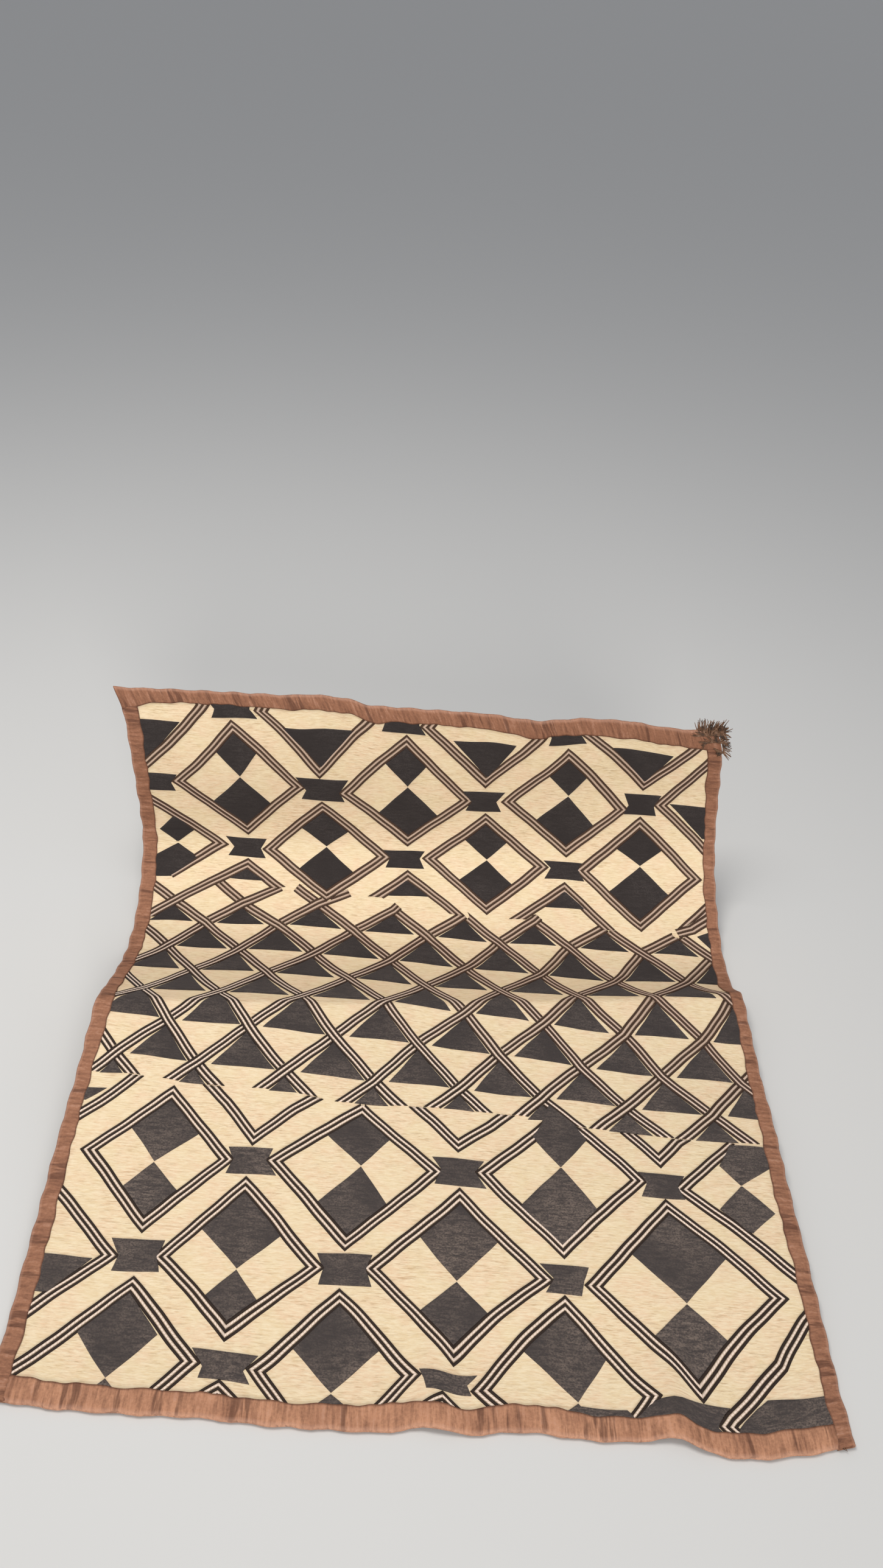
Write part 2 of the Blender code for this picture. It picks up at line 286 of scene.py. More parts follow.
# Fields of cut pile other than those in the lozenges, in mm
# columns: left u, right u, v of one level; each field is given level by level from below
PILE_FIELDS = (
    # triangles under the far strip
    ((8, 12, 631), (8, 21, 640), (8, 52, 671)),
    ((183, 185, 634), (147, 216, 669)),
    ((342, 344, 633), (309, 369, 671)),
    ((489, 491, 639), (457, 515, 671)),
    ((547, 553, 582), (516, 553, 616)),
    # bow ties between the lozenges
    ((83, 126, 675.5), (88, 121, 684), (83, 126, 694)),
    ((243, 284, 675), (247, 279, 684), (244, 281, 692)),
    ((400, 435, 675.5), (404, 431, 684), (401, 433, 690)),
    ((8, 40, 599), (8, 36, 608), (8, 42, 617.5)),
    ((164, 205, 597), (169, 201, 607), (159, 210, 621)),
    ((323, 358, 595.5), (329, 353, 606), (320, 361, 616.5)),
    ((473, 504, 601.5), (478, 502, 611), (472.5, 508, 624)),
    ((87, 125, 532), (93, 120, 541.5), (85, 126, 551.5)),
    ((246, 284, 530.5), (251, 280, 540.5), (243, 285, 548)),
    ((399, 437, 529.5), (405.5, 432, 540.5), (399, 436, 547.5)),
    ((134, 172, 171.5), (138, 164, 183.5), (133, 168, 194)),
    ((291, 331, 174), (296, 323, 187), (290, 330, 197)),
    ((447, 480, 177), (452, 476, 188), (446, 482, 198)),
    ((62, 96, 91.5), (65, 93, 103.5), (58, 97, 116.5)),
    ((210, 247, 90), (213.5, 244, 102.5), (208, 248, 114.5)),
    ((369, 394, 94.5), (375, 396.5, 106), (366, 401, 116.5)),
    ((134, 168, 24.5), (136, 163, 32), (128, 172, 42.5)),
    ((285, 314, 25), (283, 311, 31.5), (280, 318, 37.5)),
    # below the chevrons that end the far lozenges
    ((88, 126, 509), (105, 107, 520)),
    ((245, 288, 502), (265, 267, 518)),
    ((399, 438, 500), (417, 419, 517)),
    # cut by the side strips
    ((17, 54, 556), (34, 36, 571)),
    ((34, 36, 543), (17, 54, 556)),
    ((10, 31, 508), (9, 57, 527), (35, 36, 541)),
    ((524, 525, 192), (511, 549, 209), (521, 552, 230)),
    ((520, 524, 152), (504, 544, 170), (524, 525, 191)),
    ((8, 23, 72), (8, 47, 100)),
    ((8, 13, 225), (8, 28, 236)),
    # cut by the near strip
    ((414, 481, 10), (424, 472.5, 17), (433, 478, 25), (462, 483.5, 30)),
    ((484, 553, 10), (485.5, 553, 17), (491, 553, 22.5), (500.5, 553, 30), (509, 553, 35)),
    ((372, 422, 10), (376, 420, 16), (386, 416, 20)),
    # in the lozenge at the near left corner
    ((74, 74, 22.5), (49, 104, 49.5), (79, 79, 75.5)),
    ((60, 88, 9), (74, 74, 22)),
    # beside the net at the right edge
    ((551, 553, 467), (538, 553, 481), (552, 553, 488)),
    # the top of one near lozenge, open to the net
    ((387, 388, 197), (368, 411, 223), (378, 403, 238), (384, 386, 254)),
    ((383, 385, 132), (356, 413, 162), (387, 388, 196)),
)

# How the pile meets the bands and the pinch of a lozenge, and the shape of its cushions, in mm
PILE_OVERLAP = 0.3
PINCH_GAP = 0.4
PILE_HEIGHT = 0.85
PILE_EDGE = 0.8
PILE_PITCH = 3.2
PILE_ROOT = 0.2

# How far the brown strips reach in over the panel
# columns: distance along the edge in mm, width that shows in mm
NEAR_STRIP_REACH = (
    (0, 16), (20, 16.5), (60, 16.5), (90, 16), (150, 15.5), (200, 15), (230, 16), (262, 17.5),
    (290, 15.5), (320, 16.5), (350, 17.5), (377, 16.5), (400, 15), (435, 14.5), (462, 14.5),
    (490, 15.5), (515, 16), (545, 16), (560, 16),
)
FAR_STRIP_REACH = (
    (0, 20), (10, 19), (30, 13), (87, 12), (145, 13.5), (203, 15), (232, 17.5), (248, 14.5),
    (290, 14.5), (348, 16), (377, 18.5), (406, 15.5), (464, 18), (493, 18), (545, 19), (560, 20),
)
LEFT_STRIP_REACH = (
    (0, 12), (100, 13), (150, 12.5), (250, 11.5), (300, 14), (350, 12), (430, 13), (490, 14),
    (550, 13.5), (620, 13), (701, 15),
)
RIGHT_STRIP_REACH = (
    (0, 12), (100, 12), (200, 13), (300, 12), (350, 11), (420, 13), (480, 11.5), (540, 12),
    (600, 11.5), (640, 14), (701, 14),
)
STRIP_STEP = 1.3 * MM

# Unevenness of a strip: the waves and nicks of its inner edge, the waves and swells of its fold
INNER_WAVE = 0.5 * MM
INNER_NICK = 0.35 * MM
OUTER_WAVE = 0.4 * MM
OUTER_SWELL = 0.5 * MM

# The knot at the far right corner, how uneven it is as a share of its radius, and its loose ends
# columns: how many ends, where the first and the last one start (across, along, above the
# underside, in mm), their directions in degrees, their rise, their shortest and longest length in mm
KNOT_RADIUS = 4 * MM
KNOT_BUMPS = 0.07
LOOSE_END_WIDTH = 1.8 * MM
STRAND_STEPS = 6
CORNER_ENDS = (
    (36, (540, 699, 2.0), (562, 702, 2.0), 104, 72, 0.05, 11, 15),
    (20, (545, 700, 3.0), (562, 702, 3.0), 115, 50, 0.20, 6, 11),
    (30, (561, 704, 2.5), (561, 680, 2.5), 55, -50, 0.10, 6, 10),
    (34, (542, 697, 4.2), (563, 699, 4.2), 200, -20, 0.06, 6, 10),
    (34, (545, 690, 4.0), (562, 692, 4.0), 240, -30, 0.06, 6, 10),
    (18, (552, 685, 3.9), (561, 682, 3.9), -50, -130, 0.06, 4, 8),
    (26, (561, 702, 3.5), (564, 703, 4.5), 150, -60, 0.40, 6, 11),
)

# The short thread ends at the two near corners: their height above the underside, in mm
# columns: place across and along in mm, direction in radians, length and width in mm
NEAR_END_HEIGHT = 1.6
NEAR_ENDS = (
    (2, 2, -2.6, 4, 0.9), (4, 1, -2.0, 3, 0.8), (1, 5, 3.0, 3, 0.8),
    (553, 2, -1.8, 4, 0.9), (551, 1, -1.4, 3, 0.8),
)

# The camera: where it stands, in metres, how it is turned, in degrees, and its lens in mm
CAMERA_PLACE = (-0.0526, -0.6518, 0.7761)
CAMERA_PITCH = 35.61
CAMERA_YAW = 4.07
CAMERA_ROLL = 5.57
CAMERA_LENS = 27.11

# The lamps, and the soft light from all round
# columns: name, place and target in metres, size in metres, power in watts
LAMPS = (
    ("overhead lamp", (-0.4, 0.1, 1.6), (0, 0.1, 0.05), 0.8, 16),
    ("front lamp", (0.4, -3.75, 1.45), (0, 0.05, 0.05), 1.6, 102),
)
LAMP_COLOUR = (1, 0.97, 0.93)
SKY_COLOUR = (0.93, 0.95, 1.0, 1)
SKY_STRENGTH = 0.42
FLOOR_REACH = 60
FLOOR_DROP = 0.4 * MM

# Colours, as the shaders take them
STRAW = (0.69, 0.535, 0.325, 1)
PALE_STRAW = (0.80, 0.68, 0.48, 1)
ROSY_STRAW = (0.70, 0.50, 0.32, 1)
FLECK_BROWN = (0.42, 0.27, 0.14, 1)
WEAVE_TAN = (0.50, 0.34, 0.17, 1)
WEAVE_DARK = (0.27, 0.16, 0.07, 1)
CHARCOAL = (0.046, 0.038, 0.036, 1)
PALE_CHARCOAL = (0.155, 0.120, 0.100, 1)
DEEP_CHARCOAL = (0.026, 0.021, 0.020, 1)
LINE_BLACK = (0.024, 0.014, 0.010, 1)
LINE_BROWN = (0.060, 0.030, 0.018, 1)
LINE_WHITE = (0.78, 0.63, 0.52, 1)
LINE_TAN = (0.50, 0.36, 0.28, 1)
TERRACOTTA = (0.27, 0.12, 0.068, 1)
PALE_TERRACOTTA = (0.48, 0.235, 0.135, 1)
DEEP_TERRACOTTA = (0.085, 0.033, 0.020, 1)
ROSY_TERRACOTTA = (0.56, 0.33, 0.24, 1)
LOOSE_DARK = (0.045, 0.024, 0.014, 1)
LOOSE_BROWN = (0.13, 0.062, 0.030, 1)
LOOSE_PALE = (0.26, 0.15, 0.095, 1)
SHEEN_GREY = (0.55, 0.5, 0.5, 1)
FLOOR_GREY = (0.60, 0.60, 0.59, 1)
WHITE = (1, 1, 1, 1)
GREY = (0.6, 0.6, 0.6, 1)
BLACK = (0, 0, 0, 1)


# The cloth's folds


def curve_through(table, where):
    """Smooth curves through a table's rows, read at where: one for each column after the first.

    They start level and never swing past a row's value.
    """
    knots, *columns = np.array(table, float).T
    where = np.clip(where, knots[0], knots[-1])
    row = np.clip(np.searchsorted(knots, where, side="right") - 1, 0, len(knots) - 2)
    span = knots[row + 1] - knots[row]
    t = (where - knots[row]) / span
    curves = []
    for values in columns:
        secants = np.diff(values) / np.diff(knots)
        product, total = secants[1:] * secants[:-1], secants[1:] + secants[:-1]
        inner = np.where(product > 0, 2 * product / np.where(product > 0, total, 1), 0)
        slopes = np.concatenate([[0], inner, secants[-1:]])
        start = values[row] * (1 + 2 * t) * (1 - t) ** 2 + slopes[row] * span * t * (1 - t) ** 2
        end = values[row + 1] * t**2 * (3 - 2 * t) + slopes[row + 1] * span * t**2 * (t - 1)
        curves.append(start + end)
    return curves


def across(left, middle, right, share):
    """Blends three values across the cloth: share is 0 at the left edge and 1 at the right."""
    left_part = left * (1 - share) * (1 - 2 * share)
    return left_part + middle * 4 * share * (1 - share) + right * share * (2 * share - 1)


def crease_at(u):
    """Distance of the crease from the near hem, at u across the cloth."""
    return across(CREASE_LEFT, CREASE_MIDDLE, CREASE_RIGHT, u / CLOTH_WIDTH)


def fold_profile(u, along):
    """How far back and how high the cloth lies at each distance along one line of it."""
    share = u / CLOTH_WIDTH
    crease = crease_at(u)
    ridge = across(*NEAR_RISE[-1][1:], share) * MM
    climbed = (along - HEM_FLAT_END) / (crease - HEM_FLAT_END)
    rise = across(*curve_through(NEAR_RISE, climbed), share) * MM
    fall_share = np.clip((along - crease) / (VALLEY_START - crease), 0, 1)
    height = np.where(along < crease, rise, ridge * (1 - fall_share) ** FALL_SHAPE)
    reach = round(CREASE_ROUNDING / ALONG_STEP)
    height = np.convolve(np.pad(height, reach, mode="edge"), np.ones(2 * reach + 1), mode="valid")
    height /= 2 * reach + 1
    sweep = np.radians(across(*curve_through(FAR_SWEEP, along / MM), share))
    slope = np.where(along < SWEEP_START, np.arcsin(np.gradient(height, ALONG_STEP)), sweep)
    slope = (slope[1:] + slope[:-1]) / 2
    back = np.concatenate([[0], np.cumsum(np.cos(slope))]) * ALONG_STEP
    climb = np.concatenate([[0], np.cumsum(np.where(along[1:] > SWEEP_START, np.sin(slope), 0))])
    return back, np.where(along < SWEEP_START, height, climb * ALONG_STEP)


ALONG = np.arange(0, CLOTH_LENGTH + ALONG_STEP / 2, ALONG_STEP)
ACROSS = np.arange(0, CLOTH_WIDTH + ACROSS_STEP / 2, ACROSS_STEP)
BACK, HEIGHT = np.array([fold_profile(u, ALONG) for u in ACROSS]).transpose(1, 0, 2)


def read_profiles(grid, u, v):
    """Reads the folds at u across and v along the cloth, also a little way past its edges."""
    column = np.clip((u / ACROSS_STEP).astype(int), 0, len(ACROSS) - 2)
    row = np.clip((v / ALONG_STEP).astype(int), 0, len(ALONG) - 2)
    s = u / ACROSS_STEP - column
    t = v / ALONG_STEP - row
    near = grid[column, row] * (1 - s) + grid[column + 1, row] * s
    far = grid[column, row + 1] * (1 - s) + grid[column + 1, row + 1] * s
    return near * (1 - t) + far * t


def read_waves(table, where):
    """Reads a table of millimetres at places in metres, and gives metres."""
    return curve_through(table, where / MM)[0] * MM


def wave_share(distance):
    """How much of a hem's waves is left at a distance from that hem."""
    t = np.clip((distance - HEM_WAVE_FULL) / (HEM_WAVE_END - HEM_WAVE_FULL), 0, 1)
    return (1 + np.cos(pi * t)) / 2


def surface(u, v):
    """The points of the cloth's underside at u across and v along it."""
    near_wave = wave_share(v)
    shifted = v + read_waves(FAR_HEM_OUT, u) * wave_share(CLOTH_LENGTH - v)
    back = read_profiles(BACK, u, shifted) - HEM_SKEW * u / CLOTH_WIDTH
    return np.stack([
        u + read_waves(SIDE_DRIFT, v) - BOX_CENTRE_X,
        back - read_waves(NEAR_HEM_OUT, u) * near_wave - BOX_CENTRE_Y,
        read_profiles(HEIGHT, u, shifted) + read_waves(NEAR_HEM_LIFT, u) * near_wave,
    ], axis=-1)


def pucker(u, v):
    """The small unevenness of a cloth stitched by hand, never below its underside."""
    long_waves = np.sin(u / (11 * MM) + 1.4 * np.sin(v / (43 * MM)))
    long_waves = long_waves * np.sin(v / (14 * MM) + u / (37 * MM))
    short_waves = np.sin(u / (3.1 * MM) - v / (5.7 * MM)) * np.sin(v / (3.7 * MM) + u / (9 * MM))
    middle, long_height, short_height = PUCKER
    return (middle + long_height * long_waves + short_height * short_waves) * MM


def laid(points):
    """Points given across, along and above the flat cloth, moved to where they lie on its folds."""
    u, v, above = points.T
    reach = 2 * MM
    along = surface(u, v + reach) - surface(u, v - reach)
    over = surface(u + reach, v) - surface(u - reach, v)
    upwards = np.cross(over, along)
    upwards /= np.linalg.norm(upwards, axis=1, keepdims=True)
    return surface(u, v) + upwards * (above + pucker(u, v))[:, None]


# Making pieces


def add_piece(name, bm, material, stands_for=None):
    """Lays a flat bmesh on the folds as one smooth piece, which keeps its flat places."""
    bmesh.ops.recalc_face_normals(bm, faces=bm.faces)
    mesh = bpy.data.meshes.new(name)
    bm.to_mesh(mesh)
    bm.free()
    flat = np.zeros(len(mesh.vertices) * 3)
    mesh.vertices.foreach_get("co", flat)
    mesh.attributes.new("flat", "FLOAT_VECTOR", "POINT").data.foreach_set("vector", flat)
    mesh.vertices.foreach_set("co", laid(flat.reshape(-1, 3)).ravel())
    mesh.polygons.foreach_set("use_smooth", np.ones(len(mesh.polygons), bool))
    mesh.materials.append(material)
    mesh.update()
    piece = bpy.data.objects.new(name, mesh)
    bpy.context.scene.collection.objects.link(piece)
    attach(piece, "root")
    if stands_for:
        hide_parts(stands_for)
    return piece


def set_grid(bm, column_count, row_count, place):
    """Adds a grid whose vertices are put where place gives them for whole arrays of grid steps."""
    made = bmesh.ops.create_grid(bm, x_segments=column_count, y_segments=row_count, size=0.5)["verts"]
    steps = np.array([vert.co for vert in made])
    columns = np.rint((steps[:, 0] + 0.5) * column_count).astype(int)
    rows = np.rint((steps[:, 1] + 0.5) * row_count).astype(int)
    for vert, co in zip(made, place(columns, rows)):
        vert.co = co
    return made


def drawn_by_hand(places):
    """Moves the pattern's places, in mm, by the bow of its rows and the small wandering of a hand."""
    u, v = places[..., 0], places[..., 1]
    bow, move = curve_through(PATTERN_BOW, v)
    share = u * MM / CLOTH_WIDTH
    slow_aside = np.sin(v / 17 + 2 * np.sin(u / 53))
    quick_aside = np.sin(v / 5.3 + u / 7.1)
    slow_ahead = np.sin(u / 19 + 1.7 * np.sin(v / 47))
    quick_ahead = np.sin(u / 6.3 - v / 6.9)
    return np.stack([
        u - 4 * share * (1 - share) * bow + HAND_WANDER * slow_aside + HAND_TREMBLE * quick_aside,
        v + move + HAND_WANDER * slow_ahead + HAND_TREMBLE * quick_ahead,
    ], axis=-1)


# The pattern of bands


def mitred(path, offset):
    """A path moved to its left by an offset, with sharp corners; a closed one stays closed."""
    steps = np.diff(path, axis=0)
    steps /= np.linalg.norm(steps, axis=1, keepdims=True)
    sideways = np.stack([-steps[:, 1], steps[:, 0]], axis=1)
    closed = np.allclose(path[0], path[-1])
    before = np.vstack([sideways[-1:] if closed else sideways[:1], sideways])
    after = np.vstack([sideways, sideways[:1] if closed else sideways[-1:]])
    turn = 1 + np.sum(before * after, axis=1, keepdims=True)
    return path + (before + after) / turn * offset


def net_place(row, column):
    """Where a row and a column of the net meet, in mm."""
    u = NET_COLUMNS[column] - NET_LEFTWARDS[row]
    return u, float(np.interp(u, NET_ROW_PLACES, NET_ROWS[row]))


def net_bands():
    """The middle lines of the net's bands, and the way each one leans: 1 runs down to the right."""
    heads = {(column, lean): place for column, lean, place in NET_HEADS}
    last = len(NET_ROWS) - 1
    bands = []
    for lean in (1, -1):
        for start in range(-len(NET_ROWS), len(NET_COLUMNS) + len(NET_ROWS)):
            rows = [row for row in range(last + 1) if 0 <= start + lean * row < len(NET_COLUMNS)]
            if start % 2 == 0 or len(rows) < 2 or (start, lean) in NET_LEFT_OUT:
                continue
            path = [net_place(row, start + lean * row) for row in rows]
            if (start, lean) in heads:
                path.insert(0, heads[start, lean])
            elif lean < 0 and start in NET_CAPPED:
                u, v = path[0]
                path.insert(0, (u + NET_CAP, v + NET_CAP))
            if rows[-1] == last:
                u, v = path[-1]
                path.append((u + lean * NET_TAIL, v - NET_TAIL + 1))
            bands.append((np.array(path, float), lean))
    return bands


def lozenge_frames():
    """The outer lines of the framed lozenges, round from the bottom with their insides on the left."""
    frames = []
    for left, right, side_v, top_u, top_v, bottom_u, bottom_v, *_ in LOZENGES:
        bottom = (bottom_u, bottom_v)
        frames.append((bottom, (right, side_v), (top_u, top_v), (left, side_v), bottom))
    return frames


def nearest_gap(places, starts, ends):
    """How far each place lies from the nearest of some straight pieces."""
    starts, steps = starts[:, None], (ends - starts)[:, None]
    share = np.sum((places - starts) * steps, axis=2) / np.maximum(np.sum(steps**2, axis=2), 1e-9)
    gap = places - starts - np.clip(share, 0, 1)[..., None] * steps
    return np.min(np.hypot(gap[..., 0], gap[..., 1]), axis=0)


def inside_band(places, middle):
    """True for the places that a band along a middle line covers."""
    return nearest_gap(places, middle[:-1], middle[1:]) < BAND_WIDTH / 2


def crossing_row(places):
    """The number of the net's row that each place is nearest to."""
    rows = [np.interp(places[:, 0], NET_ROW_PLACES, row) for row in NET_ROWS]
    return np.argmin(np.abs(np.array(rows) - places[:, 1]), axis=0)


def read_line(line, u):
    """How far along the cloth a line of the pattern lies at u across it."""
    return np.interp(u, *np.array(line).T)


def past_net(places):
    """True where a frame would run on into the net, at its foot or at its brow."""
    u, v = places.T
    into_foot = (v > read_line(NET_FOOT, u) - NET_GAP) & (v < NET_MIDDLE)
    into_brow = (v < read_line(NET_BROW, u) + NET_GAP) & (v > NET_MIDDLE)
    return into_foot | into_brow


def covered(places, lean, frames, net):
    """True where a band of the net passes under a frame or under a band that leans the other way."""
    u, v = places.T
    hidden = np.zeros(len(places), bool)
    for frame_middle in frames:
        hidden |= inside_band(places, frame_middle)
    hidden = hidden & ~past_net(places) | (v < read_line(NET_FOOT, u) + NET_GAP)
    under = crossing_row(places) % 2 == (0 if lean > 0 else 1)
    for middle, other_lean in net:
        if other_lean != lean:
            hidden |= under & inside_band(places, middle)
    return hidden


def shown_runs(stations, hidden):
    """The stretches, from station to station, that aren't hidden, short ones left out."""
    shown = np.concatenate([[False], ~hidden, [False]])
    changes = np.flatnonzero(shown[1:] != shown[:-1])
    runs = zip(changes[::2], changes[1::2])
    return [(stations[a], stations[b - 1]) for a, b in runs if b - a >= SHORTEST_RUN]


def filled(knots, pitch):
    """Stations from each knot towards the next one, about a pitch apart, the last knot left out."""
    return np.concatenate([
        np.linspace(a, b, max(1, round((b - a) / pitch)), endpoint=False)
        for a, b in zip(knots[:-1], knots[1:])
    ])


def lengths_to(path):
    """How far along a path each of its points lies."""
    return np.concatenate([[0], np.cumsum(np.linalg.norm(np.diff(path, axis=0), axis=1))])


def read_path(path, knots, distance):
    """The places at distances along a path."""
    return np.stack([np.interp(distance, knots, path[:, axis]) for axis in (0, 1)], axis=-1)


def stitch_line(bm, stitch, path, offset, line_width, hidden_at):
    """One line of a band, as closed cords over the stretches of it that show."""
    knots = lengths_to(path)

    def at(distance, sideways):
        return read_path(mitred(path, sideways), knots, distance)

    stations = np.linspace(0, knots[-1], int(knots[-1] / LINE_TEST_STEP) + 2)
    edges = [offset - line_width / 2, offset + line_width / 2]
    runs = [shown_runs(stations, hidden_at(at(stations, edge))) for edge in edges]
    if len(runs[0]) != len(runs[1]):
        runs = [shown_runs(stations, hidden_at(at(stations, offset)))] * 2
    fills = filled(knots, LINE_STEP)
    for (left_start, left_end), (right_start, right_end) in zip(*runs):
        after_starts = fills > max(left_start, right_start) + LINE_END_ROOM
        before_ends = fills < min(left_end, right_end) - LINE_END_ROOM
        inner = fills[after_starts & before_ends]
        row_count = len(inner) + 1

        def place(columns, rows):
            section = np.array(LINE_SECTION)[columns]
            share = section[:, 0] + 0.5
            starts = left_start + (right_start - left_start) * share
            ends = left_end + (right_end - left_end) * share
            distance = np.concatenate([[0], inner, [0]])[rows]
            distance = np.where(rows == 0, starts, np.where(rows == row_count, ends, distance))
            flat = np.zeros((len(rows), 2))
            for column, (from_middle, _) in enumerate(LINE_SECTION):
                here = columns == column
                flat[here] = at(distance[here], offset + from_middle * line_width)
            above = PANEL_TOP + section[:, 1] * LINE_HEIGHT * MM
            return np.column_stack([drawn_by_hand(flat) * MM, above])

        spots = [left_start, *inner, left_end]
        for number, vert in enumerate(set_grid(bm, len(LINE_SECTION) - 1, row_count, place)):
            vert[stitch] = (spots[number // len(LINE_SECTION)] * MM, offset * MM, 0)


def close_tubes(bm):
    """Welds the seam of each tube and closes its two ends."""
    bmesh.ops.remove_doubles(bm, verts=bm.verts[:], dist=1e-6)
    rims = [edge for edge in bm.edges if edge.is_boundary]
    bmesh.ops.holes_fill(bm, edges=rims, sides=4)


def trim_to_panel(bm):
    """Cuts what lies past the panel's visible part, a little way in under the strips."""
    edges = (
        ((SIDE_TRIM, 0, 0), (-1, 0, 0)),
        ((CLOTH_WIDTH - SIDE_TRIM, 0, 0), (1, 0, 0)),
        ((0, HEM_TRIM, 0), (0, -1, 0)),
        ((0, CLOTH_LENGTH - HEM_TRIM, 0), (0, 1, 0)),
    )
    for place, outwards in edges:
        geometry = bm.verts[:] + bm.edges[:] + bm.faces[:]
        cut = bmesh.ops.bisect_plane(
            bm, geom=geometry, dist=1e-7, plane_co=place, plane_no=outwards, clear_outer=True)
        rim = [item for item in cut["geom_cut"] if isinstance(item, bmesh.types.BMEdge)]
        bmesh.ops.holes_fill(bm, edges=[edge for edge in rim if edge.is_boundary], sides=0)


def make_lines(name, numbers, line_width, material):
    """All the dark lines or all the light ones: framed lozenges, other frames, and the net."""
    bm = bmesh.new()
    stitch = bm.verts.layers.float_vector.new("stitch")
    frames = [np.array(path, float) for path in (*lozenge_frames(), *FRAMES)]
    middles = [mitred(path, BAND_WIDTH / 2) for path in frames]
    net = net_bands()
    for number in numbers:
        offset = LINE_PITCH * (number + 0.5)
        for path in frames:
            stitch_line(bm, stitch, path, offset, line_width, past_net)
        for path, lean in net:
            stitch_line(
                bm, stitch, path, offset - BAND_WIDTH / 2, line_width,
                lambda places, lean=lean: covered(places, lean, middles, net))
    close_tubes(bm)
    trim_to_panel(bm)
    return add_piece(name, bm, material)


# The cut pile


def inset_polygon(corners, distances):
    """A polygon, round with its inside on the left, with each side moved in by its own distance."""
    corners = np.array(corners, float)
    steps = np.roll(corners, -1, axis=0) - corners
    sideways = np.stack([-steps[:, 1], steps[:, 0]], 1) / np.linalg.norm(steps, axis=1, keepdims=True)
    moved = corners + sideways * np.array(distances, float)[:, None]
    inner = []
    for number in range(len(corners)):
        first, step = moved[number - 1], steps[number - 1]
        second, next_step = moved[number], steps[number]
        gap = second - first
        share = (gap[0] * next_step[1] - gap[1] * next_step[0])
        share /= step[0] * next_step[1] - step[1] * next_step[0]
        inner.append(first + step * share)
    return inner


def lozenge_pile():
    """The two diamonds of cut pile in each framed lozenge, level by level from below."""
    fields = []
    for row, frame_line in zip(LOZENGES, lozenge_frames()):
        pinch = np.array(row[7:9], float)
        upper, lower = row[9:]
        bottom, right, top, left = inset_polygon(frame_line[:-1], [BAND_WIDTH - PILE_OVERLAP] * 4)
        above, below = pinch + (0, PINCH_GAP), pinch - (0, PINCH_GAP)
        widest_above = (top + (left - top) * upper, top + (right - top) * upper)
        widest_below = (bottom + (left - bottom) * lower, bottom + (right - bottom) * lower)
        fields.append(((above, above), widest_above, (top, top)))
        fields.append(((bottom, bottom), widest_below, (below, below)))
    return fields


def net_pile():
    """The triangles of cut pile over each row of the net, and the small ones below its last row."""
    fields = []
    side = BAND_WIDTH / 2 - PILE_OVERLAP
    for row in range(1, len(NET_ROWS)):
        left_room, right_room = NET_PILE_ROOM[row - 1]
        for column in range(2 - row % 2, len(NET_COLUMNS) - 1, 2):
            corners = (net_place(row, column - 1), net_place(row, column + 1), net_place(row - 1, column))
            left, right, top = inset_polygon(corners, (NET_PILE_BASE, side, side))
            fields.append(((left + (left_room, 0), right - (right_room, 0)), (top, top)))
    for column in range(1, len(NET_COLUMNS) - 1, 2):
        u, v = net_place(len(NET_ROWS) - 1, column)
        level, top = read_line(NET_FOOT, u), v - BAND_WIDTH * FOOT_PILE_START
        half = FOOT_PILE_SPREAD * (top - level)
        corners = [np.array(corner) for corner in ((u - half, level), (u + half, level), (u, top))]
        fields.append((corners[:2], (corners[2], corners[2])))
    return fields


def given_pile():
    """The fields of the table, as pairs of places."""
    return [
        [(np.array((left, v), float), np.array((right, v), float)) for left, right, v in field]
        for field in PILE_FIELDS
    ]


def add_pile_field(bm, levels):
    """One field of cut pile: a low cushion with a soft rim."""
    lefts = np.array([left for left, _ in levels])
    rights = np.array([right for _, right in levels])
    outline = np.vstack([rights, lefts[::-1]])
    knots = lengths_to((lefts + rights) / 2)
    widest = np.max(np.linalg.norm(rights - lefts, axis=1))
    column_count = max(4, round(widest / PILE_PITCH) + 2)
    ends = [0, PILE_EDGE, knots[-1] - PILE_EDGE, knots[-1]]
    rows_at = np.sort(np.concatenate([ends, filled(knots, PILE_PITCH)[1:]]))

    def place(columns, rows):
        left, right = (read_path(side, knots, rows_at[rows]) for side in (lefts, rights))
        width = np.maximum(np.linalg.norm(right - left, axis=1), 1e-6)
        even = (columns - 1) / (column_count - 2) * (width - 2 * PILE_EDGE) + PILE_EDGE
        even = np.where(width > 4 * PILE_EDGE, even, columns / column_count * width)
        even = np.where(columns == 0, 0, np.where(columns == column_count, width, even))
        flat = left + (right - left) * (even / width)[:, None]
        depth = nearest_gap(flat, outline, np.roll(outline, -1, axis=0))
        height = PILE_HEIGHT * np.clip(depth / PILE_EDGE, 0.1, 1) ** 0.6
        return np.column_stack([drawn_by_hand(flat) * MM, PANEL_TOP + height * MM])

    set_grid(bm, column_count, len(rows_at) - 1, place)


def make_pile(material):
    """All the fields of cut pile, as one piece."""
    bm = bmesh.new()
    for levels in (*lozenge_pile(), *net_pile(), *given_pile()):
        add_pile_field(bm, levels)
    bmesh.ops.remove_doubles(bm, verts=bm.verts[:], dist=1e-6)
    base = bmesh.ops.extrude_face_region(bm, geom=bm.faces[:])["geom"]
    for vert in (item for item in base if isinstance(item, bmesh.types.BMVert)):
        vert.co.z = PANEL_TOP - PILE_ROOT * MM
    trim_to_panel(bm)
    return add_piece("cut_pile", bm, material)


# The woven ground and the strips


